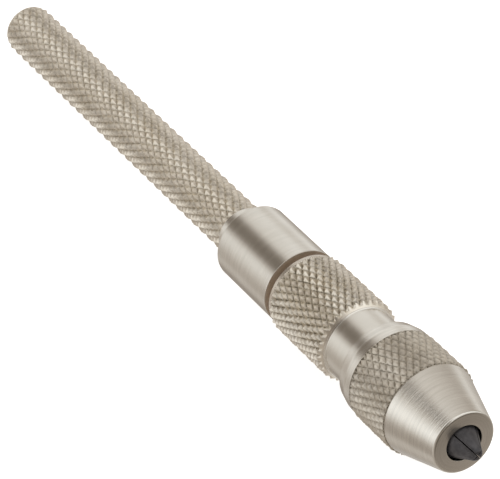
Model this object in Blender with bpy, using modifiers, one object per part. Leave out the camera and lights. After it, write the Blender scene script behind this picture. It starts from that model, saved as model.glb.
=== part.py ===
"""Pin vise drill: a slim hand tool that grips fine drill bits in a collet of four sprung fingers.

The tool lies along X with its nose towards +X, and the origin is on the tool axis, halfway along it.
Every piece is drawn standing on its tail, with its nose up, under one empty that lays the tool down.
"""

import math

import bmesh
import bpy
from mathutils import Vector

MM = 0.001

# Driving dimensions, in millimetres. A depth is measured back from the flat face of the nose cap.
TIP_DEPTH = -2.45
TAIL_DEPTH = 95.9
CLEARANCE = 0.05

CAP_LENGTH = 15.6
NOSE_RADIUS = 3.53
NOSE_HOLE_RADIUS = 2.09
NOSE_EDGE = 0.06
CONE_END_RADIUS = 5.4
CAP_GRIP_START = 6.44
CAP_GRIP_END = 13.12
CAP_GRIP_RADIUS = 5.65
RIM_RADIUS = 5.5
RIM_TAPER_START = 14.2
RIM_REAR_RADIUS = 5.16
RIM_EDGE = 0.2
TAPER_SLOPE = math.tan(math.radians(10.0))
TAPER_END = 7.2
CAP_THREAD_RADIUS = 4.07

THREAD_START = 8.2
THREAD_RADIUS = 3.95
NECK_START = 16.1
NECK_RADIUS = 4.23
NECK_END = 19.75
BODY_FRONT = 19.95
BODY_GRIP_START = 20.25
BODY_GRIP_END = 30.45
BODY_REAR = 30.87
BODY_GRIP_RADIUS = 4.91
BODY_LAND_RADIUS = 4.65
COLLET_BORE_RADIUS = 2.4
COLLET_SEAT = 19.3
WIRE_BORE_RADIUS = 1.5
GROOVE_RADIUS = 3.6
SPIGOT_RADIUS = 3.3
SPIGOT_END = 37.0

FERRULE_START = 31.85
FERRULE_END = 42.03
FERRULE_RADIUS = 4.53
FERRULE_EDGE = 0.12

HANDLE_SPIGOT_START = 37.4
HANDLE_SPIGOT_RADIUS = 2.45
SHOULDER_RADIUS = 3.0
HANDLE_GRIP_START = 44.3
HANDLE_GRIP_RADIUS = 3.134
HANDLE_BORE_RADIUS = 1.6
TAIL_EDGE = 0.25

COLLET_GAP = 0.12
TIP_RADIUS = 0.6
TIP_CONE_SLOPE = 0.55
HEAD_END = 7.0
FINGER_START = 8.0
FINGER_RADIUS = 2.05
FINGER_ROOT = 16.4
FINGER_HINGE_RADIUS = 1.5
GRIP_BORE_RADIUS = 0.2
GRIP_BORE_END = 6.0
RELIEF_RADIUS = 0.9
SLOT_WIDTH = 0.2
SLOT_ANGLE = 41.0
JAW_COUNT = 4
RING_START = 16.6
RING_RADIUS = 2.3

# How far the block between two saw slots reaches from the axis, and past both ends of a finger.
QUADRANT_REACH = 8.0
QUADRANT_MARGIN = 1.0

TURN_STEPS = 48
MIDDLE_DEPTH = (TIP_DEPTH + TAIL_DEPTH) / 2


def height(depth):
    """The height of a depth when the tool stands on its tail, in metres."""
    return (MIDDLE_DEPTH - depth) * MM


def closing_taper(depth):
    """The radius of the cap's inner taper, which squeezes the collet head."""
    return NOSE_HOLE_RADIUS + depth * TAPER_SLOPE


def clear_scene():
    for obj in list(bpy.data.objects):
        bpy.data.objects.remove(obj, do_unlink=True)


def new_collection(name):
    collection = bpy.data.collections.new(name)
    bpy.context.scene.collection.children.link(collection)
    return collection


def new_material(name, colour, roughness, metallic):
    material = bpy.data.materials.new(name)
    material.use_nodes = True
    shader = material.node_tree.nodes["Principled BSDF"]
    shader.inputs["Base Color"].default_value = (*colour, 1.0)
    shader.inputs["Roughness"].default_value = roughness
    shader.inputs["Metallic"].default_value = metallic
    material.diffuse_color = (*colour, 1.0)
    return material


def new_object(name, mesh, collection, parent):
    obj = bpy.data.objects.new(name, mesh)
    obj.parent = parent
    collection.objects.link(obj)
    return obj


def add_turned(name, outline, material, collection, parent):
    """A turned piece. Its outline, (radius, depth) in millimetres, runs down outside and up inside."""
    points = [(radius * MM, 0.0, height(depth)) for radius, depth in outline]
    edges = [(index, (index + 1) % len(points)) for index in range(len(points))]
    mesh = bpy.data.meshes.new(name)
    mesh.from_pydata(points, edges, [])
    mesh.materials.append(material)
    obj = new_object(name, mesh, collection, parent)
    screw = obj.modifiers.new("Turn", "SCREW")
    screw.axis = "Z"
    screw.steps = TURN_STEPS
    screw.render_steps = TURN_STEPS
    screw.use_merge_vertices = True
    screw.merge_threshold = 1e-6
    screw.use_smooth_shade = True
    return obj


def cap_outline():
    return [
        (NOSE_RADIUS - NOSE_EDGE, 0.0),
        (NOSE_RADIUS, NOSE_EDGE),
        (CONE_END_RADIUS, CAP_GRIP_START),
        (CAP_GRIP_RADIUS, CAP_GRIP_START + RIM_EDGE),
        (CAP_GRIP_RADIUS, CAP_GRIP_END - RIM_EDGE),
        (RIM_RADIUS, CAP_GRIP_END),
        (RIM_RADIUS, RIM_TAPER_START),
        (RIM_REAR_RADIUS, CAP_LENGTH),
        (CAP_THREAD_RADIUS, CAP_LENGTH),
        (CAP_THREAD_RADIUS, TAPER_END),
        (closing_taper(TAPER_END), TAPER_END),
        (NOSE_HOLE_RADIUS, 0.0),
    ]


def body_outline():
    return [
        (THREAD_RADIUS - RIM_EDGE, THREAD_START),
        (THREAD_RADIUS, THREAD_START + RIM_EDGE),
        (THREAD_RADIUS, NECK_START),
        (NECK_RADIUS, NECK_START),
        (NECK_RADIUS, NECK_END),
        (BODY_LAND_RADIUS, BODY_FRONT),
        (BODY_LAND_RADIUS, BODY_GRIP_START),
        (BODY_GRIP_RADIUS, BODY_GRIP_START + RIM_EDGE),
        (BODY_GRIP_RADIUS, BODY_GRIP_END - RIM_EDGE),
        (BODY_LAND_RADIUS, BODY_GRIP_END),
        (BODY_LAND_RADIUS, BODY_REAR),
        (GROOVE_RADIUS, BODY_REAR),
        (GROOVE_RADIUS, FERRULE_START - CLEARANCE),
        (SPIGOT_RADIUS, FERRULE_START - CLEARANCE),
        (SPIGOT_RADIUS, SPIGOT_END),
        (WIRE_BORE_RADIUS, SPIGOT_END),
        (WIRE_BORE_RADIUS, COLLET_SEAT),
        (COLLET_BORE_RADIUS, COLLET_SEAT),
        (COLLET_BORE_RADIUS, THREAD_START),
    ]


def ferrule_outline():
    step = SPIGOT_END + CLEARANCE
    return [
        (FERRULE_RADIUS - FERRULE_EDGE, FERRULE_START),
        (FERRULE_RADIUS, FERRULE_START + FERRULE_EDGE),
        (FERRULE_RADIUS, FERRULE_END - FERRULE_EDGE),
        (FERRULE_RADIUS - FERRULE_EDGE, FERRULE_END),
        (HANDLE_SPIGOT_RADIUS + CLEARANCE, FERRULE_END),
        (HANDLE_SPIGOT_RADIUS + CLEARANCE, step),
        (SPIGOT_RADIUS + CLEARANCE, step),
        (SPIGOT_RADIUS + CLEARANCE, FERRULE_START),
    ]


def handle_outline():
    shoulder_start = FERRULE_END + CLEARANCE
    return [
        (HANDLE_SPIGOT_RADIUS, HANDLE_SPIGOT_START),
        (HANDLE_SPIGOT_RADIUS, shoulder_start),
        (SHOULDER_RADIUS, shoulder_start),
        (SHOULDER_RADIUS, HANDLE_GRIP_START),
        (HANDLE_GRIP_RADIUS, HANDLE_GRIP_START + RIM_EDGE),
        (HANDLE_GRIP_RADIUS, TAIL_DEPTH - TAIL_EDGE),
        (HANDLE_GRIP_RADIUS - TAIL_EDGE, TAIL_DEPTH),
        (HANDLE_BORE_RADIUS, TAIL_DEPTH),
        (HANDLE_BORE_RADIUS, HANDLE_SPIGOT_START),
    ]


def collet_ring_outline():
    ring_end = COLLET_SEAT - CLEARANCE
    return [
        (RING_RADIUS, RING_START),
        (RING_RADIUS, ring_end),
        (RELIEF_RADIUS, ring_end),
        (RELIEF_RADIUS, RING_START),
    ]


def finger_outline():
    """One collet finger as if it went all the way round: tip cone, closing taper, then the thin spring."""
    base_radius = NOSE_HOLE_RADIUS - COLLET_GAP
    cone_radius = TIP_RADIUS - TIP_CONE_SLOPE * TIP_DEPTH
    cone_end = (base_radius - cone_radius) / (TIP_CONE_SLOPE - TAPER_SLOPE)
    return [
        (TIP_RADIUS, TIP_DEPTH),
        (closing_taper(cone_end) - COLLET_GAP, cone_end),
        (closing_taper(HEAD_END) - COLLET_GAP, HEAD_END),
        (FINGER_RADIUS, FINGER_START),
        (FINGER_RADIUS, FINGER_ROOT),
        (RELIEF_RADIUS, FINGER_ROOT),
        (RELIEF_RADIUS, GRIP_BORE_END + RELIEF_RADIUS),
        (GRIP_BORE_RADIUS, GRIP_BORE_END),
        (GRIP_BORE_RADIUS, TIP_DEPTH),
    ]


def add_quadrant(name, middle_angle, collection, parent):
    """The quarter of space that one finger fills: its two flat sides are the walls of the saw slots."""
    reach = QUADRANT_REACH * MM
    near = SLOT_WIDTH / 2 * MM
    low = height(FINGER_ROOT + QUADRANT_MARGIN)
    high = height(TIP_DEPTH - QUADRANT_MARGIN)
    mesh = bpy.data.meshes.new(name)
    shape = bmesh.new()
    bmesh.ops.create_cube(shape, size=1.0)
    bmesh.ops.scale(shape, vec=(reach - near, reach - near, high - low), verts=shape.verts)
    centre = ((reach + near) / 2, (reach + near) / 2, (high + low) / 2)
    bmesh.ops.translate(shape, vec=centre, verts=shape.verts)
    shape.to_mesh(mesh)
    shape.free()
    cutter = new_object(name, mesh, collection, parent)
    cutter.rotation_euler.z = middle_angle - math.pi / 4
    cutter.hide_render = True
    cutter.display_type = "WIRE"
    return cutter


def add_finger(number, material, parts, cutters, tool, ring):
    """One finger on an empty at its root, where the spring steel bends."""
    middle_angle = math.radians(SLOT_ANGLE) + (number - 0.5) * 2 * math.pi / JAW_COUNT
    hinge = new_object(f"finger_root_{number}", None, parts, ring)
    hinge.empty_display_size = RING_RADIUS * MM
    hinge.location = Vector((math.cos(middle_angle), math.sin(middle_angle), 0.0)) * FINGER_HINGE_RADIUS * MM
    hinge.location.z = height(FINGER_ROOT)
    finger = add_turned(f"collet_jaw_{number}", finger_outline(), material, parts, hinge)
    finger.location = -hinge.location
    quadrant = add_quadrant(f"quadrant_{number}", middle_angle, cutters, tool)
    slots = finger.modifiers.new("Slots", "BOOLEAN")
    slots.operation = "INTERSECT"
    slots.solver = "EXACT"
    slots.object = quadrant
    return finger


def build():
    clear_scene()
    parts = new_collection("pin_vise_drill")
    cutters = new_collection("cutters")

    cap_metal = new_material("satin_nickel_cap", (0.60, 0.56, 0.49), 0.32, 1.0)
    body_metal = new_material("satin_nickel_body", (0.58, 0.54, 0.47), 0.34, 1.0)
    ferrule_metal = new_material("satin_nickel_ferrule", (0.61, 0.57, 0.50), 0.30, 1.0)
    handle_metal = new_material("satin_nickel_handle", (0.56, 0.52, 0.45), 0.36, 1.0)
    collet_metal = new_material("blackened_steel", (0.07, 0.07, 0.075), 0.45, 0.8)

    tool = new_object("tool_axis", None, parts, None)
    tool.rotation_euler.y = math.pi / 2
    tool.empty_display_size = HANDLE_GRIP_RADIUS * MM

    add_turned("chuck_body", body_outline(), body_metal, parts, tool)
    add_turned("ferrule", ferrule_outline(), ferrule_metal, parts, tool)
    add_turned("handle", handle_outline(), handle_metal, parts, tool)
    ring = add_turned("collet_ring", collet_ring_outline(), collet_metal, parts, tool)
    add_turned("nose_cap", cap_outline(), cap_metal, parts, ring)
    for number in range(1, JAW_COUNT + 1):
        add_finger(number, collet_metal, parts, cutters, tool, ring)


build()
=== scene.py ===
"""Looks of the pin vise drill: fine turned and knurled meshes, procedural metals, studio and camera.

The tool lies along X with its nose towards +X. A depth is measured back from the flat face of the nose cap,
in millimetres, and a radius from the tool axis, in millimetres. Angles round the axis run from +Y to +Z.
Every turned piece has a through bore, so its outline is one closed loop.
"""

import math
from collections import namedtuple

import bmesh
import bpy
import numpy as np
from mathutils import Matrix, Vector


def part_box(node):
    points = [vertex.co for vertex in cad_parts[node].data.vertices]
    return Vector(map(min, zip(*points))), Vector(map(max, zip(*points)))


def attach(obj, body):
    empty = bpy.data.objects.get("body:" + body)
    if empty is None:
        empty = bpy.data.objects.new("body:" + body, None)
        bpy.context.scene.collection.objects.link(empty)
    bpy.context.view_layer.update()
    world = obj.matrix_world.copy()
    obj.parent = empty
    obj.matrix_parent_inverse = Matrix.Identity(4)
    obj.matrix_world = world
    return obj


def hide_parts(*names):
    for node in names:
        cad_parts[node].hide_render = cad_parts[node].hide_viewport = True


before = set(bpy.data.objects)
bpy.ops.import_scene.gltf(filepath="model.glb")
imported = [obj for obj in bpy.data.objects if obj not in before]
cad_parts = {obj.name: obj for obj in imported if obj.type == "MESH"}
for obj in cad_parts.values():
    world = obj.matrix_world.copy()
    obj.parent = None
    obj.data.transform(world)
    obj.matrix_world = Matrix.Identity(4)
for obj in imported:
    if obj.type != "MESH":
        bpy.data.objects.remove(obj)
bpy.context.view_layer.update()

MM = 0.001
FULL_TURN = 2 * math.pi

NOSE_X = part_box("nose_cap")[1].x
TAIL_DEPTH = (NOSE_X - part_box("handle")[0].x) / MM
TIP_DEPTH = (NOSE_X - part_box("collet_jaw_1")[1].x) / MM
FERRULE_START = (NOSE_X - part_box("ferrule")[1].x) / MM
FERRULE_END = (NOSE_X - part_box("ferrule")[0].x) / MM
CAP_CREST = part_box("nose_cap")[1].z / MM
BODY_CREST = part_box("chuck_body")[1].z / MM
FERRULE_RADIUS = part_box("ferrule")[1].z / MM
HANDLE_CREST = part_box("handle")[1].z / MM


# ---------------------------------------------------------------- turned outlines

ARC_STEPS = 4
HOLD = 0.05
# The most of a side that an arc may take, and then the arc with its held edge.
ARC_SHARE, HOLD_SHARE = 0.45, 0.49
NEARLY_STRAIGHT = math.radians(89)


def rounded(corners):
    """Points of a closed outline, back along the outside and forward along the inside.

    A corner is (depth, radius, rounding). It becomes an arc, or one point where its rounding is 0, with a
    held edge on both sides. Where the outline runs straight on, it is only a point.
    """
    points = []
    for index, (depth, radius, rounding) in enumerate(corners):
        corner = np.array((depth, radius))
        before = np.array(corners[index - 1][:2]) - corner
        after = np.array(corners[(index + 1) % len(corners)][:2]) - corner
        room_before, room_after = np.linalg.norm(before), np.linalg.norm(after)
        before, after = before / room_before, after / room_after
        half_turn = math.acos(np.clip(before @ after, -1, 1)) / 2
        if half_turn > NEARLY_STRAIGHT:
            points.append(tuple(corner))
            continue
        reach = min(rounding / math.tan(half_turn), ARC_SHARE * room_before, ARC_SHARE * room_after)
        hold_before = min(reach + HOLD, HOLD_SHARE * (room_before + reach))
        hold_after = min(reach + HOLD, HOLD_SHARE * (room_after + reach))
        start, end = corner + before * reach, corner + after * reach
        points.append(tuple(corner + before * hold_before))
        for share in np.linspace(0, 1, ARC_STEPS + 1 if rounding else 1):
            bend = 2 * share * (1 - share) * corner
            points.append(tuple((1 - share) ** 2 * start + bend + share**2 * end))
        points.append(tuple(corner + after * hold_after))
    return points


# ---------------------------------------------------------------- knurling

class Knurl:
    """Two families of helical grooves, which leave diamonds between them.

    starts is the number of diamonds round the piece, pitch their length along the axis, and crest the radius
    of their tops. depth is how deep the grooves are. top is the height, as a share of a full pyramid, at
    which the diamonds are flattened. swell rounds them: at 1 their sides are flat, and above that they are
    fuller near the top. pits is how deep the pressed metal is pitted, in millimetres. end_pits, from 0 to 1,
    is how strongly the grooves end in small pits, which grime and painted shade darken. twist is how far, in
    diamonds, the lattice leans round for each diamond towards the tail. turned and shifted place it: round
    the axis, in diamonds, and towards the tail, in millimetres. seed sets the wear and the pitting.
    """

    # Steps of the mesh between two creases, and how many steps the first and last rows keep from an end.
    FINENESS = 5
    CLEAR_OF_ENDS = 0.2
    # How unevenly the tops are worn.
    NOISE_ROWS = 97
    WEAR = 0.10
    # At an end of the knurl: the pits, in millimetres, and the grime with painted shade, which fades so much
    # per millimetre.
    END_PIT_DEPTH, END_PIT_REACH = 0.08, 0.2
    END_GRIME, END_GRIME_IN_GROOVES, END_GRIME_FADING = 0.5, 0.6, 3.5

    def __init__(self, starts, pitch, depth, crest, top, swell, pits, end_pits, twist, turned, shifted, seed):
        self.starts, self.pitch, self.depth, self.crest = starts, pitch, depth, crest
        self.top, self.swell, self.pits, self.end_pits = top, swell, pits, end_pits
        self.twist, self.turned, self.shifted = twist, turned, shifted
        self.rows_apart = pitch / (2 * self.FINENESS)
        self.columns = starts * 2 * self.FINENESS
        self.random = np.random.default_rng(seed)
        self.noise = self.random.uniform(0, 1, (self.NOISE_ROWS, starts))

    def rows(self, start, end):
        """Depths of the rows between two depths, on the lattice, so that creases fall on edges."""
        first = math.ceil((start - self.shifted) / self.rows_apart + self.CLEAR_OF_ENDS)
        last = math.floor((end - self.shifted) / self.rows_apart - self.CLEAR_OF_ENDS)
        return [self.shifted + row * self.rows_apart for row in range(first, last + 1)]

    def lean(self, depth):
        """How far the columns have leaned round at a depth, as an angle."""
        return (self.turned - self.twist * depth / self.pitch) * FULL_TURN / self.starts

    def radii(self, depth):
        """Radius of every column at a depth."""
        around = np.arange(self.columns) * self.starts / self.columns
        along = (depth - self.shifted) / self.pitch
        first, second = around + along, around - along
        to_groove = np.minimum(abs(first - np.round(first)), abs(second - np.round(second))) * 2
        cell = self.noise[
            np.floor(first - np.floor(second)).astype(int) % self.NOISE_ROWS,
            np.floor(first).astype(int) % self.starts,
        ]
        worn = self.top * (1 - self.WEAR + self.WEAR * cell)
        height = np.minimum(to_groove, worn) / self.top
        pitting = self.pits * np.abs(self.random.standard_normal(self.columns))
        return self.crest - self.depth * np.clip(1 - height, 0, 1) ** self.swell - pitting

    def cut(self, depth, radii, to_end):
        """The radii where the knurl has cut a ring, and how much grime and painted shade darken each column.

        to_end is how far the ring is from the nearer end of the knurl.
        """
        cut = np.minimum(self.radii(depth), radii)
        hollow = np.clip((np.minimum(self.crest, radii) - cut) / self.depth, 0, 1)
        near_end = max(1 - to_end / self.END_PIT_REACH, 0)
        # Grime with painted shade: in the grooves, and all round near the ends of the knurl.
        in_groove = (self.END_GRIME_IN_GROOVES + self.end_pits) * hollow
        end_grime_and_shade = self.END_GRIME + in_groove - self.END_GRIME_FADING * to_end
        cut = cut - self.END_PIT_DEPTH * self.end_pits * hollow * near_end
        return cut, np.maximum(hollow, end_grime_and_shade)


# ---------------------------------------------------------------- meshes

# lean is the angle of a ring's first column. cavity is its grime and painted shade on knurling, and elsewhere
# its brown painted shade and reflection.
Ring = namedtuple("Ring", "depth radii lean cavity knurled")

# Brown painted shade and reflection on the turned faces between two depths, up to a radius, in the grooves
# and corners between parts.
ShadeBand = namedtuple("ShadeBand", "start end up_to strength")

CREASE = math.radians(28)
SAME_PLACE = 1e-6


def ring_mesh(name, rings):
    """A closed mesh through all the rings. The last of them is joined to the first."""
    columns = len(rings[0].radii)
    turn = np.arange(columns) * FULL_TURN / columns
    points, cavity, knurled = [], [], []
    for ring in rings:
        angle = turn + ring.lean
        x = np.full(columns, NOSE_X - ring.depth * MM)
        points.append(np.column_stack((x, ring.radii * np.cos(angle) * MM, ring.radii * np.sin(angle) * MM)))
        cavity.append(np.broadcast_to(np.asarray(ring.cavity, float), (columns,)))
        knurled.append(np.full(columns, float(ring.knurled)))
    points = np.concatenate(points)

    here = np.arange(columns)
    beside = (here + 1) % columns
    height = np.hypot(points[:, 1], points[:, 2])
    faces = []
    for index, ring in enumerate(rings):
        after = (index + 1) % len(rings)
        a, a_next = index * columns + here, index * columns + beside
        b, b_next = after * columns + here, after * columns + beside
        quads = np.column_stack((a, b, b_next, a_next))
        if not (ring.knurled and rings[after].knurled):
            faces.extend(quads.tolist())
            continue
        along_first = height[a] + height[b_next] <= height[b] + height[a_next]
        faces.extend(quads[along_first][:, (0, 1, 2)].tolist())
        faces.extend(quads[along_first][:, (0, 2, 3)].tolist())
        faces.extend(quads[~along_first][:, (0, 1, 3)].tolist())
        faces.extend(quads[~along_first][:, (1, 2, 3)].tolist())

    mesh = bpy.data.meshes.new(name)
    mesh.from_pydata(points.tolist(), [], faces)
    for attribute, values in (("cavity", cavity), ("knurled", knurled)):
        values = np.concatenate(values).astype(np.float32)
        mesh.attributes.new(attribute, "FLOAT", "POINT").data.foreach_set("value", values)
    shape = bmesh.new()
    shape.from_mesh(mesh)
    bmesh.ops.recalc_face_normals(shape, faces=shape.faces)
    shape.to_mesh(mesh)
    shape.free()
    mesh.shade_smooth()
    mesh.set_sharp_from_angle(angle=CREASE)
    return mesh


def turned_rings(corners, columns, knurl=None, band=(0.0, 0.0), thread=None, shade_bands=()):
    """Rings of an outline. A knurl cuts its outer side between the depths of a band, where that is lower.

    thread gives what a screw thread adds to the radius of every column of a ring at (depth, radius).
    """
    start, end = band

    def ring(depth, radius, on_outside):
        lean = knurl.lean(min(max(depth, start), end)) if knurl else 0.0
        radii = np.full(columns, float(radius))
        if thread:
            radii = radii + thread(depth, radius, columns)
        in_band = start - SAME_PLACE <= depth <= end + SAME_PLACE
        if knurl and on_outside and in_band and radius > knurl.crest - 2 * knurl.depth:
            radii, grime_and_shade = knurl.cut(depth, radii, min(depth - start, end - depth))
            return Ring(depth, radii, lean, grime_and_shade, True)
        # Brown painted shade and reflection on faces in the grooves and corners between parts.
        painted_shade = [shading.strength for shading in shade_bands
                   if shading.start <= depth <= shading.end and radius <= shading.up_to]
        return Ring(depth, radii, lean, max(painted_shade, default=0.0), False)

    points = rounded(corners)
    rings = []
    for index, (depth, radius) in enumerate(points):
        after_depth, after_radius = points[(index + 1) % len(points)]
        rings.append(ring(depth, radius, depth <= after_depth))
        if knurl and after_depth > depth:
            for row in knurl.rows(max(depth, start), min(after_depth, end)):
                share = (row - depth) / (after_depth - depth)
                rings.append(ring(row, radius + (after_radius - radius) * share, True))
    return rings


def add_piece(name, mesh, material, body, node):
    piece = bpy.data.objects.new(name, mesh)
    bpy.context.scene.collection.objects.link(piece)
    mesh.materials.append(material)
    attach(piece, body)
    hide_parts(node)
    return piece


def add_turned(node, rings, material, body):
    name = f"{node}_turned"
    add_piece(name, ring_mesh(name, rings), material, body, node)


# ---------------------------------------------------------------- materials

TURNED_DARK, TURNED_PALE = (0.765, 0.735, 0.665), (0.81, 0.785, 0.72)
KNURL_DARK, KNURL_PALE = (0.80, 0.735, 0.62), (0.87, 0.815, 0.715)
# Next: the dark of grime and painted shade in the knurls' grooves, and the brown of painted shade and
# reflection on turned faces in grooves and corners between parts.
GRIME, BROWN_SHADE = (0.15, 0.125, 0.085), (0.50, 0.41, 0.32)
BLACKENED_DARK, BLACKENED_PALE = (0.062, 0.060, 0.063), (0.108, 0.104, 0.108)

# How much a line changes on its way round the axis, beside how much it changes across.
LINE_DRIFT = 0.03
BUMP_DISTANCE = 0.02 * MM
GLOSS_SPREAD = 0.12
WORN_LEVEL = 0.86
# How much less metallic the brown painted shade makes the surface.
BROWN_SHADE_DULLS = 0.6


class Nodes:
    """Small helper that adds and links shader nodes."""

    def __init__(self, owner):
        owner.use_nodes = True
        self.tree = owner.node_tree

    def feed(self, socket, source):
        """Link a socket to another one, or give it a value or a colour."""
        if isinstance(source, bpy.types.NodeSocket):
            self.tree.links.new(source, socket)
        elif socket.type == "RGBA":
            socket.default_value = (*source, 1.0)
        else:
            socket.default_value = source

    def add(self, kind, sources=None, **settings):
        node = self.tree.nodes.new("ShaderNode" + kind)
        for name, value in settings.items():
            setattr(node, name, value)
        for name, source in (sources or {}).items():
            self.feed(node.inputs[name], source)
        return node

    def math(self, operation, first, second, third=0.0):
        return self.add("Math", {0: first, 1: second, 2: third}, operation=operation).outputs[0]

    def vector(self, operation, first, second):
        return self.add("VectorMath", {0: first, 1: second}, operation=operation).outputs[0]

    def noise(self, place, scale, detail, roughness=0.5):
        sources = {"Vector": place, "Scale": scale, "Detail": detail, "Roughness": roughness}
        return self.add("TexNoise", sources).outputs[0]

    def bump(self, height, strength):
        sources = {"Height": height, "Strength": strength, "Distance": BUMP_DISTANCE}
        return self.add("Bump", sources).outputs[0]

    def ramp(self, source, *stops):
        """A colour ramp. A stop is (position, grey or colour)."""
        node = self.add("ValToRGB", {0: source})
        elements = node.color_ramp.elements
        while len(elements) < len(stops):
            elements.new(0.5)
        for element, (position, colour) in zip(elements, stops):
            colour = colour if isinstance(colour, tuple) else (colour,) * 3
            element.position = position
            element.color = (*colour, 1.0)
        return node.outputs[0]

    def mix(self, share, first, second):
        """A blend of two colours."""
        return self.add("Mix", {0: share, 6: first, 7: second}, data_type="RGBA").outputs[2]

    def to_shader(self, **sources):
        for name, source in sources.items():
            self.feed(self.tree.nodes["Principled BSDF"].inputs[name.replace("_", " ")], source)


def shade(level, colour):
    return tuple(level * part for part in colour)


def lined_place(nodes, place):
    """A place that hardly changes round the axis, so that noise makes lines round it."""
    parts = nodes.add("SeparateXYZ", {0: place}).outputs
    across = nodes.add("CombineXYZ", {"X": parts["Y"], "Y": parts["Z"]}).outputs[0]
    radius = nodes.add("VectorMath", {0: across}, operation="LENGTH").outputs["Value"]
    section = nodes.add("CombineXYZ", {"X": parts["X"], "Y": radius}).outputs[0]
    drift = nodes.vector("MULTIPLY", place, (0.0, LINE_DRIFT, LINE_DRIFT))
    return nodes.vector("ADD", section, drift)


def satin_nickel(name, roughness, anisotropy, line_strength, line_tone, turned, knurl, dull, grime_and_shade):
    """Nickel plate over steel: lines round the axis, and on knurling a warmer, patchier tone with grime and
    painted shade in the grooves. Turned faces in grooves and corners between parts get a brown painted shade
    and reflection.

    line_strength is how rough the lines look, and line_tone how dark they are. turned and knurl are how pale
    the metal is on its turned faces and on its knurling; as they differ from piece to piece, they also paint
    how brightly each piece is lit. dull is how much rougher the knurling is, and the last argument is how
    dark its grooves are with grime and painted shade.
    """
    material = bpy.data.materials.new(name)
    nodes = Nodes(material)
    place = nodes.add("TexCoord").outputs["Object"]
    lined = lined_place(nodes, place)
    lines = nodes.noise(lined, scale=9000.0, detail=4.0, roughness=0.65)
    streaks = nodes.noise(lined, scale=3200.0, detail=3.0, roughness=0.6)
    cloud = nodes.noise(place, scale=260.0, detail=4.0, roughness=0.55)
    patches = nodes.noise(place, scale=1500.0, detail=2.0)
    specks = nodes.noise(place, scale=3600.0, detail=1.0)
    grain = nodes.noise(place, scale=5200.0, detail=2.0)
    cavity = nodes.add("Attribute", attribute_name="cavity").outputs["Fac"]
    knurled = nodes.add("Attribute", attribute_name="knurled").outputs["Fac"]

    turned_tone = nodes.ramp(cloud, (0.30, shade(turned, TURNED_DARK)), (0.70, shade(turned, TURNED_PALE)))
    fine = nodes.ramp(lines, (0.25, 1.0 - line_tone), (0.75, 1.0))
    broad = nodes.ramp(streaks, (0.35, 1.0 - 0.5 * line_tone), (0.65, 1.0))
    turned_tone = nodes.vector("MULTIPLY", turned_tone, fine)
    turned_tone = nodes.vector("MULTIPLY", turned_tone, broad)
    # Brown painted shade and reflection on turned faces in the grooves and corners between parts.
    plain = nodes.math("SUBTRACT", 1.0, knurled)
    patchy = nodes.math("ADD", 0.5, patches)
    painted_shade = nodes.math("MULTIPLY", nodes.math("MULTIPLY", cavity, plain), patchy)
    turned_tone = nodes.mix(nodes.math("MINIMUM", painted_shade, 1.0), turned_tone, BROWN_SHADE)

    knurl_tone = nodes.ramp(cloud, (0.32, shade(knurl, KNURL_DARK)), (0.68, shade(knurl, KNURL_PALE)))
    worn = nodes.ramp(patches, (0.30, WORN_LEVEL), (0.55, 1.0))
    knurl_tone = nodes.vector("MULTIPLY", knurl_tone, worn)
    # Grime with painted shade in the knurls' grooves, in specks.
    speckled = nodes.ramp(specks, (0.38, 0.25), (0.62, 1.0))
    hollow = nodes.math("MULTIPLY", nodes.math("POWER", cavity, 2.2), speckled)
    knurl_tone = nodes.mix(nodes.math("MULTIPLY", hollow, grime_and_shade), knurl_tone, GRIME)

    tone = nodes.mix(knurled, turned_tone, knurl_tone)
    # Where the brown painted shade lies, the surface is less metallic.
    metal = nodes.math("SUBTRACT", 1.0, nodes.math("MULTIPLY", painted_shade, BROWN_SHADE_DULLS))
    gloss = nodes.math("MULTIPLY_ADD", streaks, GLOSS_SPREAD, roughness - GLOSS_SPREAD / 2)
    gloss = nodes.math("MULTIPLY_ADD", knurled, dull, gloss)
    relief = nodes.math("MULTIPLY_ADD", grain, 0.5, lines)
    tangent = nodes.add("Tangent", direction_type="RADIAL", axis="X").outputs[0]
    nodes.to_shader(
        Base_Color=tone, Metallic=metal, Roughness=gloss, Anisotropic=anisotropy,
        Normal=nodes.bump(relief, line_strength), Tangent=tangent,
    )
    return material


def blackened_steel(name):
    material = bpy.data.materials.new(name)
    nodes = Nodes(material)
    place = nodes.add("TexCoord").outputs["Object"]
    cloud = nodes.noise(place, scale=1800.0, detail=4.0)
    grain = nodes.noise(place, scale=9000.0, detail=3.0)
    tone = nodes.ramp(cloud, (0.3, BLACKENED_DARK), (0.7, BLACKENED_PALE))
    gloss = nodes.math("MULTIPLY_ADD", cloud, 0.2, 0.32)
    nodes.to_shader(Base_Color=tone, Metallic=0.6, Roughness=gloss, Normal=nodes.bump(grain, 0.4))
    return material


# The pale levels differ from piece to piece: besides the plate's tone, they paint how brightly each piece is
# lit.
cap_metal = satin_nickel(
    "satin_nickel_cap", roughness=0.22, anisotropy=0.5, line_strength=0.35, line_tone=0.14,
    turned=1.05, knurl=0.845, dull=0.18, grime_and_shade=0.62,
)
body_metal = satin_nickel(
    "satin_nickel_body", roughness=0.22, anisotropy=0.4, line_strength=0.2, line_tone=0.06,
    turned=1.0, knurl=0.965, dull=0.08, grime_and_shade=0.85,
)
ferrule_metal = satin_nickel(
    "satin_nickel_ferrule", roughness=0.22, anisotropy=0.5, line_strength=0.32, line_tone=0.09,
    turned=1.0, knurl=1.0, dull=0.06, grime_and_shade=0.5,
)
handle_metal = satin_nickel(
    "satin_nickel_handle", roughness=0.26, anisotropy=0.3, line_strength=0.25, line_tone=0.05,
    turned=1.0, knurl=0.995, dull=0.08, grime_and_shade=0.55,
)
collet_metal = blackened_steel("blackened_steel")


# ---------------------------------------------------------------- nose cap

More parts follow.
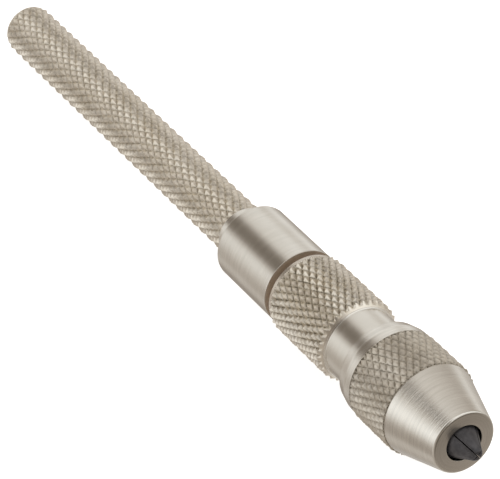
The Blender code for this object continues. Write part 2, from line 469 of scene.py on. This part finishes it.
CAP_LENGTH = 15.6
NOSE_RADIUS, NOSE_HOLE, NOSE_CROWN = 3.60, 2.09, 0.06
CONE_END_RADIUS = 5.4
CAP_GRIP_START, CAP_GRIP_END, CAP_GRIP_CHAMFER = 6.44, 13.12, 0.10
CAP_GRIP_LIP, CAP_GRIP_LIP_DROP = 0.02, 0.06
RIM_RADIUS, RIM_TAPER_START, RIM_REAR_RADIUS = 5.5, 14.2, 5.14
TAPER_SLOPE, TAPER_END = math.tan(math.radians(10)), 7.2
CAP_BORE = 4.07

cap_knurl = Knurl(
    starts=40, pitch=1.60, depth=0.22, crest=CAP_CREST, top=1.0, swell=1.15, pits=0.012, end_pits=0.8,
    twist=0.165, turned=0.32, shifted=-0.187, seed=11,
)
cap_corners = [
    (NOSE_CROWN, NOSE_RADIUS, 0.30),
    (CAP_GRIP_START, CONE_END_RADIUS, 0.0),
    (CAP_GRIP_START + CAP_GRIP_LIP, CONE_END_RADIUS - CAP_GRIP_LIP_DROP, 0.0),
    (CAP_GRIP_START + CAP_GRIP_CHAMFER, CAP_CREST, 0.05),
    (CAP_GRIP_END - CAP_GRIP_CHAMFER, CAP_CREST, 0.05),
    (CAP_GRIP_END, RIM_RADIUS, 0.02),
    (RIM_TAPER_START, RIM_RADIUS - 0.03, 0.6),
    (CAP_LENGTH, RIM_REAR_RADIUS, 0.10),
    (CAP_LENGTH, CAP_BORE, 0.08),
    (TAPER_END, CAP_BORE, 0.05),
    (TAPER_END, NOSE_HOLE + TAPER_END * TAPER_SLOPE, 0.05),
    (0.0, NOSE_HOLE, 0.05),
]
cap_band = (CAP_GRIP_START + CAP_GRIP_LIP, CAP_GRIP_END)
cap_rings = turned_rings(cap_corners, cap_knurl.columns, cap_knurl, cap_band)
add_turned("nose_cap", cap_rings, cap_metal, "cap")


# ---------------------------------------------------------------- chuck body

THREAD_START, THREAD_RADIUS, THREAD_PITCH, THREAD_DEPTH = 8.2, 3.95, 0.75, 0.36
THREAD_LEAD_IN, THREAD_ROWS_START, THREAD_ROWS_PER_TURN = 0.45, 0.5, 10
# A flank rises this many depths for each pitch, and the first part of that rise is left flat as the root.
THREAD_FLANK, THREAD_ROOT = 2.6, 0.15
RELIEF_LENGTH, RELIEF_SLOPE = 0.5, 0.2
NECK_START, NECK_END, NECK_RADIUS = 16.1, 19.85, 4.23
BODY_FRONT, BODY_REAR, BODY_LAND = 19.97, 30.87, 4.65
BODY_GRIP_START, BODY_GRIP_END, BODY_GRIP_CHAMFER = 20.02, 30.36, 0.12
CHAMFER_RADIUS = 4.34
GROOVE_RADIUS = 3.6
CLEARANCE = 0.05
SPIGOT_RADIUS, SPIGOT_END = 3.3, 37.0
COLLET_BORE, COLLET_SEAT, WIRE_BORE = 2.4, 19.3, 1.5


def thread_corners():
    """The threaded neck: a lead-in chamfer, rows for the thread to shape, and a relief behind them."""
    row_length = THREAD_PITCH / THREAD_ROWS_PER_TURN
    first = THREAD_START + THREAD_ROWS_START
    rows = int((NECK_START - RELIEF_LENGTH - RELIEF_SLOPE - first) / row_length)
    return [
        (THREAD_START, THREAD_RADIUS - THREAD_LEAD_IN, 0.05),
        (THREAD_START + THREAD_LEAD_IN, THREAD_RADIUS, 0.05),
        *((first + row * row_length, THREAD_RADIUS, 0.0) for row in range(1, rows)),
        (NECK_START - RELIEF_LENGTH, THREAD_RADIUS - THREAD_DEPTH, 0.1),
        (NECK_START, THREAD_RADIUS - THREAD_DEPTH, 0.1),
    ]


def thread_cut(depth, radius, columns):
    """A right-hand helical groove, cut into the rows at the thread's full radius."""
    if abs(radius - THREAD_RADIUS) > SAME_PLACE:
        return 0.0
    along = (depth / THREAD_PITCH + np.arange(columns) / columns) % 1.0
    crest = np.clip(np.abs(along - 0.5) * THREAD_FLANK - THREAD_ROOT, 0, 1)
    return -THREAD_DEPTH * (1 - crest)


body_knurl = Knurl(
    starts=34, pitch=1.61, depth=0.36, crest=BODY_CREST, top=0.9, swell=1.0, pits=0.010, end_pits=0.0,
    twist=0.097, turned=-0.029, shifted=0.351, seed=12,
)
body_corners = [
    *thread_corners(),
    (NECK_START, NECK_RADIUS, 0.08),
    (NECK_END, NECK_RADIUS, 0.12),
    (BODY_FRONT, CHAMFER_RADIUS, 0.03),
    (BODY_GRIP_START, CHAMFER_RADIUS + BODY_GRIP_START - BODY_FRONT, 0.0),
    (BODY_FRONT + BODY_CREST - CHAMFER_RADIUS, BODY_CREST, 0.05),
    (BODY_GRIP_END - BODY_GRIP_CHAMFER, BODY_CREST, 0.03),
    (BODY_GRIP_END, BODY_LAND - 0.01, 0.0),
    (BODY_REAR, BODY_LAND - 0.05, 0.06),
    (BODY_REAR, GROOVE_RADIUS, 0.05),
    (FERRULE_START - CLEARANCE, GROOVE_RADIUS, 0.03),
    (FERRULE_START - CLEARANCE, SPIGOT_RADIUS, 0.03),
    (SPIGOT_END, SPIGOT_RADIUS, 0.1),
    (SPIGOT_END, WIRE_BORE, 0.1),
    (COLLET_SEAT, WIRE_BORE, 0.1),
    (COLLET_SEAT, COLLET_BORE, 0.03),
    (THREAD_START, COLLET_BORE, 0.1),
]
# Brown painted shade and reflection: in the front corner by the neck, on the rear land, and in the groove
# before the ferrule.
body_shade_bands = [
    ShadeBand(BODY_FRONT - 0.02, BODY_GRIP_START, BODY_LAND, 0.35),
    ShadeBand(BODY_GRIP_END, BODY_REAR - 0.03, BODY_LAND, 0.5),
    ShadeBand(BODY_REAR - 0.01, FERRULE_START, BODY_LAND - 0.1, 1.0),
]
body_band = (BODY_GRIP_START, BODY_GRIP_END)
body_rings = turned_rings(
    body_corners, body_knurl.columns, body_knurl, body_band, thread=thread_cut, shade_bands=body_shade_bands)
add_turned("chuck_body", body_rings, body_metal, "body")


# ---------------------------------------------------------------- ferrule

PLAIN_COLUMNS = 192
HANDLE_SPIGOT_RADIUS, HANDLE_SPIGOT_START = 2.45, 37.4

ferrule_corners = [
    (FERRULE_START, FERRULE_RADIUS, 0.07),
    (FERRULE_END, FERRULE_RADIUS, 0.12),
    (FERRULE_END, HANDLE_SPIGOT_RADIUS + CLEARANCE, 0.05),
    (SPIGOT_END + CLEARANCE, HANDLE_SPIGOT_RADIUS + CLEARANCE, 0.05),
    (SPIGOT_END + CLEARANCE, SPIGOT_RADIUS + CLEARANCE, 0.05),
    (FERRULE_START, SPIGOT_RADIUS + CLEARANCE, 0.05),
]
# Brown painted shade and reflection on the ferrule's front face, in the groove.
ferrule_shade_bands = [ShadeBand(FERRULE_START - 0.01, FERRULE_START + 0.01, FERRULE_RADIUS - 0.06, 1.0)]
ferrule_rings = turned_rings(ferrule_corners, PLAIN_COLUMNS, shade_bands=ferrule_shade_bands)
add_turned("ferrule", ferrule_rings, ferrule_metal, "body")


# ---------------------------------------------------------------- handle

SHOULDER_RADIUS = 3.0
HANDLE_GRIP_START, HANDLE_GRIP_CHAMFER = 44.3, 0.2
TAIL_CHAMFER_LENGTH, TAIL_CHAMFER_DROP = 0.35, 0.3
HANDLE_BORE = 1.6

handle_knurl = Knurl(
    starts=20, pitch=1.705, depth=0.33, crest=HANDLE_CREST, top=1.0, swell=1.15, pits=0.006, end_pits=0.0,
    twist=0.0135, turned=-0.126, shifted=-0.367, seed=13,
)
handle_corners = [
    (HANDLE_SPIGOT_START, HANDLE_SPIGOT_RADIUS, 0.1),
    (FERRULE_END + CLEARANCE, HANDLE_SPIGOT_RADIUS, 0.03),
    (FERRULE_END + CLEARANCE, SHOULDER_RADIUS, 0.08),
    (HANDLE_GRIP_START, SHOULDER_RADIUS, 0.03),
    (HANDLE_GRIP_START + HANDLE_GRIP_CHAMFER, HANDLE_CREST, 0.05),
    (TAIL_DEPTH - TAIL_CHAMFER_LENGTH, HANDLE_CREST, 0.1),
    (TAIL_DEPTH, HANDLE_CREST - TAIL_CHAMFER_DROP, 0.08),
    (TAIL_DEPTH, HANDLE_BORE, 0.12),
    (HANDLE_SPIGOT_START, HANDLE_BORE, 0.1),
]
handle_band = (HANDLE_GRIP_START, TAIL_DEPTH - 0.05)
handle_rings = turned_rings(handle_corners, handle_knurl.columns, handle_knurl, handle_band)
add_turned("handle", handle_rings, handle_metal, "body")


# ---------------------------------------------------------------- collet

COLLET_GAP = 0.12
TIP_RADIUS, TIP_CONE_SLOPE, TIP_ROUNDING = 0.6, 0.48, 0.15
HEAD_END = 7.0
FINGER_START, FINGER_RADIUS, FINGER_ROOT = 8.0, 2.05, 16.4
GRIP_BORE, GRIP_BORE_END, RELIEF_BORE = 0.12, 6.0, 0.9
SLOT_WIDTH, SLOT_WIDTH_AT_TIP = 0.2, 0.10
SLOT_ANGLE = math.radians(41)
JAW_COUNT = 4
JAW_ARC_STEPS = 14
JAW_BEVEL = 0.07
JAW_CREASE = math.radians(35)


def finger_sections():
    """(depth, outer radius, inner radius) along one collet finger."""
    head = NOSE_HOLE - COLLET_GAP
    cone_base = TIP_RADIUS - TIP_CONE_SLOPE * TIP_DEPTH
    cone_end = (head - cone_base) / (TIP_CONE_SLOPE - TAPER_SLOPE)
    return [
        (TIP_DEPTH, TIP_RADIUS - 0.8 * TIP_ROUNDING, GRIP_BORE),
        (TIP_DEPTH + 0.3 * TIP_ROUNDING, TIP_RADIUS - 0.25 * TIP_ROUNDING, GRIP_BORE),
        (TIP_DEPTH + TIP_ROUNDING, TIP_RADIUS + TIP_CONE_SLOPE * TIP_ROUNDING, GRIP_BORE),
        (cone_end, head + cone_end * TAPER_SLOPE, GRIP_BORE),
        (GRIP_BORE_END, head + GRIP_BORE_END * TAPER_SLOPE, GRIP_BORE),
        (HEAD_END, head + HEAD_END * TAPER_SLOPE, RELIEF_BORE),
        (FINGER_START, FINGER_RADIUS, RELIEF_BORE),
        (FINGER_ROOT, FINGER_RADIUS, RELIEF_BORE),
    ]


def slot_width(depth):
    """Width of a saw slot. The squeezed fingers nearly close it at the tip."""
    share = min((depth - TIP_DEPTH) / (FINGER_START - TIP_DEPTH), 1.0)
    return SLOT_WIDTH_AT_TIP + (SLOT_WIDTH - SLOT_WIDTH_AT_TIP) * share


def finger_arc(radius, depth, middle, direction):
    """Points of an arc between the walls of the two saw slots beside a finger."""
    half = math.pi / JAW_COUNT - math.asin(slot_width(depth) / 2 / radius)
    turns = middle + direction * np.linspace(-half, half, JAW_ARC_STEPS + 1)
    return [(radius * math.cos(turn), radius * math.sin(turn)) for turn in turns]


def finger_mesh(name, middle):
    """A closed finger. Each section is an outer arc and, the other way round, an inner one."""
    shape = bmesh.new()
    sections = []
    for depth, outer, inner in finger_sections():
        around = finger_arc(outer, depth, middle, 1) + finger_arc(inner, depth, middle, -1)
        x = NOSE_X - depth * MM
        sections.append([shape.verts.new((x, y * MM, z * MM)) for y, z in around])
    count = len(sections[0])
    for near, far in zip(sections, sections[1:]):
        for index in range(count):
            beside = (index + 1) % count
            shape.faces.new((near[index], near[beside], far[beside], far[index]))
    for section in (sections[0], sections[-1]):
        for index in range(JAW_ARC_STEPS):
            across = count - 1 - index
            shape.faces.new((section[index], section[index + 1], section[across - 1], section[across]))
    bmesh.ops.recalc_face_normals(shape, faces=shape.faces)
    mesh = bpy.data.meshes.new(name)
    shape.to_mesh(mesh)
    shape.free()
    mesh.shade_smooth()
    mesh.set_sharp_from_angle(angle=JAW_CREASE)
    return mesh


def add_finger(number):
    """One collet finger, with its saw-cut walls and its edges just broken."""
    name = f"collet_finger_{number}"
    mesh = finger_mesh(name, SLOT_ANGLE + (number - 0.5) * FULL_TURN / JAW_COUNT)
    finger = add_piece(name, mesh, collet_metal, f"jaw_{number}", f"collet_jaw_{number}")
    bevel = finger.modifiers.new("Broken edges", "BEVEL")
    bevel.width = JAW_BEVEL * MM
    bevel.segments = 2
    bevel.limit_method = "ANGLE"
    bevel.angle_limit = JAW_CREASE


for number in range(1, JAW_COUNT + 1):
    add_finger(number)

collet_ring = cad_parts["collet_ring"]
collet_ring.data.materials.clear()
collet_ring.data.materials.append(collet_metal)


# ---------------------------------------------------------------- studio

FLOOR_HALF_SIZE = 3.0
WARMTH_GREEN, WARMTH_BLUE = 0.18, 0.34

CAMERA_PLACE = (0.27231, -0.15548, 0.20499)
CAMERA_DOWN, CAMERA_TURN = 33.47, 59.91
CAMERA_LENS = 245.46
CAMERA_CLIP = (0.01, 20.0)

# The panels of the light tent, from those far back, which only a reflection that leans well towards the tail
# sees, to those far forward. A stop is (degrees round the tool from +Y towards +Z, brightness).
FAR_BACK = (
    (0, 0.92), (8, 0.95), (18, 0.84), (28, 0.72), (38, 0.80), (48, 0.94), (60, 0.92), (78, 0.87),
    (90, 0.83), (98, 0.65), (106, 0.28), (118, 0.20), (132, 0.20), (142, 0.25), (150, 0.62), (158, 0.86),
    (168, 0.90), (178, 0.84), (198, 0.65), (210, 0.54), (226, 0.51), (238, 0.64), (248, 0.61), (258, 0.48),
    (268, 0.32), (278, 0.32), (290, 0.45), (325, 0.42), (338, 0.37), (350, 0.66),
)
BACK = (
    (0, 0.88), (8, 0.84), (16, 0.66), (25, 0.50), (36, 0.46), (50, 0.57), (67, 0.66), (92, 0.76),
    (101, 0.73), (109, 0.54), (118, 0.24), (129, 0.22), (136, 0.30), (145, 0.56), (153, 0.78), (162, 1.02),
    (170, 1.16), (179, 1.14), (187, 0.95), (196, 0.70), (204, 0.47), (212, 0.41), (221, 0.37), (229, 0.42),
    (238, 0.63), (246, 0.61), (262, 0.50), (278, 0.90), (300, 0.90), (345, 0.70),
)
ACROSS = (
    (0, 0.60), (25, 0.38), (60, 0.45), (90, 0.70), (108, 0.95), (122, 1.15), (145, 1.17), (162, 1.18),
    (180, 1.10), (197, 0.75), (225, 0.55), (250, 0.50), (262, 0.70), (278, 0.90), (298, 0.85), (318, 0.50),
    (350, 0.70),
)
FORWARD = (
    (0, 0.90), (24, 1.00), (45, 1.12), (90, 1.18), (101, 0.90), (111, 0.30), (127, 0.10), (140, 0.14),
    (160, 0.32), (187, 0.45), (205, 0.52), (230, 0.50), (270, 0.41), (310, 0.37),
)
FAR_FORWARD = ((0, 0.60), (90, 0.90), (115, 0.40), (127, 0.20), (150, 0.30), (200, 0.20), (300, 0.14))

# Each next set of panels takes over between two values of the X of a reflection's direction.
PANEL_CHANGES = (
    (BACK, -0.72, -0.28),
    (ACROSS, -0.16, -0.10),
    (FORWARD, 0.02, 0.25),
    (FAR_FORWARD, 0.62, 0.84),
)


def add_floor():
    """A pale table that touches the cap's grip and the end of the handle, so it tips a little."""
    cap_x = NOSE_X - (CAP_GRIP_START + CAP_GRIP_END) / 2 * MM
    tail_x = NOSE_X - TAIL_DEPTH * MM
    tip = math.atan2((CAP_CREST - HANDLE_CREST) * MM, cap_x - tail_x)
    mesh = bpy.data.meshes.new("floor")
    shape = bmesh.new()
    bmesh.ops.create_grid(shape, x_segments=8, y_segments=8, size=FLOOR_HALF_SIZE)
    shape.to_mesh(mesh)
    shape.free()
    floor = bpy.data.objects.new("floor", mesh)
    bpy.context.scene.collection.objects.link(floor)
    floor.location = (cap_x, 0.0, -CAP_CREST * MM / math.cos(tip))
    floor.rotation_euler.y = tip
    floor.visible_glossy = False
    floor.visible_shadow = False
    material = bpy.data.materials.new("pale_table")
    nodes = Nodes(material)
    nodes.to_shader(
        Base_Color=(0.9, 0.9, 0.9), Roughness=0.9, Emission_Color=(1.0, 1.0, 1.0), Emission_Strength=0.8,
    )
    mesh.materials.append(material)


def glow(level):
    """The colour of a panel: neutral where it is bright, and warmer as it dims."""
    dim = max(1.0 - level, 0.0)
    return level, level * (1 - WARMTH_GREEN * dim), level * (1 - WARMTH_BLUE * dim)


def panels(nodes, around, stops):
    return nodes.ramp(around, *((degrees / 360.0, glow(level)) for degrees, level in stops))


def add_tent():
    """The light tent: bright panels round the tool with a dark gap between two of them."""
    world = bpy.data.worlds.new("light_tent")
    bpy.context.scene.world = world
    nodes = Nodes(world)
    direction = nodes.add("TexCoord").outputs["Generated"]
    parts = nodes.add("SeparateXYZ", {0: direction}).outputs
    turns = nodes.math("DIVIDE", nodes.math("ARCTAN2", parts["Z"], parts["Y"]), FULL_TURN)
    around = nodes.math("MODULO", nodes.math("ADD", turns, 1.0), 1.0)
    colour = panels(nodes, around, FAR_BACK)
    for stops, start, end in PANEL_CHANGES:
        taken_over = nodes.add("MapRange", {"Value": parts["X"], "From Min": start, "From Max": end})
        colour = nodes.mix(taken_over.outputs[0], colour, panels(nodes, around, stops))
    tent = nodes.add("Background", {"Color": colour}).outputs[0]
    plain = nodes.add("Background", {"Color": (1.0, 1.0, 1.0)}).outputs[0]
    seen = nodes.add("LightPath").outputs["Is Camera Ray"]
    mixed = nodes.add("MixShader", {0: seen, 1: tent, 2: plain}).outputs[0]
    nodes.tree.links.new(mixed, nodes.tree.nodes["World Output"].inputs["Surface"])


def add_camera():
    """A long lens that looks down on the tool from in front of its nose and from its -Y side."""
    camera_data = bpy.data.cameras.new("camera")
    camera = bpy.data.objects.new("camera", camera_data)
    bpy.context.scene.collection.objects.link(camera)
    camera_data.sensor_width = 36.0
    camera_data.lens = CAMERA_LENS
    camera_data.clip_start, camera_data.clip_end = CAMERA_CLIP
    camera.location = CAMERA_PLACE
    camera.rotation_euler = (math.radians(90 - CAMERA_DOWN), 0.0, math.radians(CAMERA_TURN))
    bpy.context.scene.camera = camera


add_floor()
add_tent()
add_camera()
bpy.context.scene.view_settings.view_transform = "Standard"
